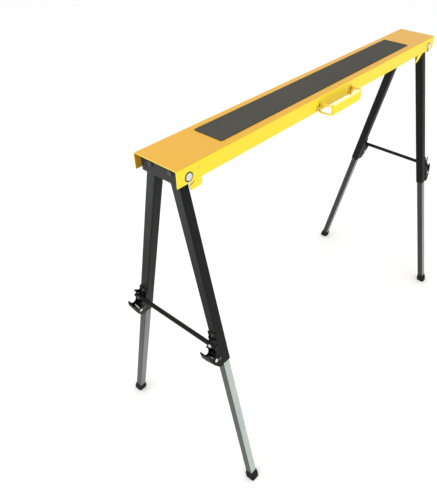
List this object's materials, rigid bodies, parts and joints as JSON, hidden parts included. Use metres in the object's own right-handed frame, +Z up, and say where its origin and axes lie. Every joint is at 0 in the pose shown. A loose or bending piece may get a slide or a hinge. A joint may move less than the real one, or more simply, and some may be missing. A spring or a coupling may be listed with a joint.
{
  "type": "folding sawhorse",
  "caption": "Folding steel trestle: a channel beam with a grip pad and carry handle on splayed leg frames that fold, with sliding lower legs, release bars and hooks.",
  "frame": {"origin": "on the floor, below the middle of the beam", "axes": "+X along the beam towards its far end, +Y towards the left side, away from the handle, +Z up"},
  "size_m": [1.039, 0.4376, 0.8115],
  "materials": {
    "yellow_paint": "semi-gloss yellow powder coat",
    "black_paint": "semi-gloss black powder coat",
    "galvanised_steel": "satin zinc plate",
    "plated_steel": "bright zinc plate",
    "blackened_steel": "dull dark plating",
    "pad_rubber": "matt, finely grained",
    "foot_rubber": "matt",
    "grip_plastic": "soft satin",
    "guide_plastic": "satin"
  },
  "bodies": {
    "beam": {"top_beam": "yellow_paint", "grip_pad": "pad_rubber", "handle_wire": "yellow_paint", "handle_grip": "grip_plastic", "handle_clips": "yellow_paint", "clip_rivets": "yellow_paint", "pivot_bolts": "plated_steel", "pivot_washers": "plated_steel", "pivot_nuts": "plated_steel", "stop_rivets": "yellow_paint"},
    "near_frame": {"near_head": "black_paint", "near_head_bolts": "blackened_steel", "near_head_nuts": "plated_steel", "near_left_upper_leg": "black_paint", "near_right_upper_leg": "black_paint", "near_left_hook": "black_paint", "near_right_hook": "black_paint", "near_hook_rivets": "blackened_steel", "near_hook_pins": "plated_steel", "near_lever_pins": "blackened_steel", "near_lever_springs": "blackened_steel"},
    "far_frame": {"far_head": "black_paint", "far_head_bolts": "blackened_steel", "far_head_nuts": "plated_steel", "far_left_upper_leg": "black_paint", "far_right_upper_leg": "black_paint", "far_left_hook": "black_paint", "far_right_hook": "black_paint", "far_hook_rivets": "blackened_steel", "far_hook_pins": "plated_steel", "far_lever_pins": "blackened_steel", "far_lever_springs": "blackened_steel"},
    "near_release": {"near_release_bar": "black_paint", "near_left_lever": "black_paint", "near_right_lever": "black_paint", "near_left_lock_pin": "blackened_steel", "near_right_lock_pin": "plated_steel"},
    "far_release": {"far_release_bar": "black_paint", "far_left_lever": "black_paint", "far_right_lever": "black_paint", "far_left_lock_pin": "plated_steel", "far_right_lock_pin": "plated_steel"},
    "near_left_lower": {"near_left_lower_leg": "galvanised_steel", "near_left_plug": "guide_plastic", "near_left_foot": "foot_rubber"},
    "near_right_lower": {"near_right_lower_leg": "galvanised_steel", "near_right_plug": "guide_plastic", "near_right_foot": "foot_rubber"},
    "far_left_lower": {"far_left_lower_leg": "galvanised_steel", "far_left_plug": "guide_plastic", "far_left_foot": "foot_rubber"},
    "far_right_lower": {"far_right_lower_leg": "galvanised_steel", "far_right_plug": "guide_plastic", "far_right_foot": "foot_rubber"}
  },
  "joints": [
    {"name": "near_frame_fold", "type": "hinge", "parent": "beam", "child": "near_frame", "pos_m": [-0.472, 0, 0.789], "axis": [0, -1, 0], "range_deg": [0, 70]},
    {"name": "far_frame_fold", "type": "hinge", "parent": "beam", "child": "far_frame", "pos_m": [0.472, 0, 0.789], "axis": [0, 1, 0], "range_deg": [0, 55]},
    {"name": "near_release_turn", "type": "hinge", "parent": "near_frame", "child": "near_release", "pos_m": [-0.4928, 0, 0.39715], "axis": [0, -1, 0], "range_deg": [0, 13], "stiffness_Nm_per_rad": 4, "springref_deg": -8.59},
    {"name": "far_release_turn", "type": "hinge", "parent": "far_frame", "child": "far_release", "pos_m": [0.4928, 0, 0.39715], "axis": [0, 1, 0], "range_deg": [0, 13], "stiffness_Nm_per_rad": 4, "springref_deg": -8.59},
    {"name": "near_left_leg_slide", "type": "slide", "parent": "near_frame", "child": "near_left_lower", "axis": [0, 0.2233, -0.9748], "range_m": [0, 0.15]},
    {"name": "near_right_leg_slide", "type": "slide", "parent": "near_frame", "child": "near_right_lower", "axis": [0, -0.2233, -0.9748], "range_m": [0, 0.15]},
    {"name": "far_left_leg_slide", "type": "slide", "parent": "far_frame", "child": "far_left_lower", "axis": [0, 0.2233, -0.9748], "range_m": [0, 0.15]},
    {"name": "far_right_leg_slide", "type": "slide", "parent": "far_frame", "child": "far_right_lower", "axis": [0, -0.2233, -0.9748], "range_m": [0, 0.15]}
  ]
}
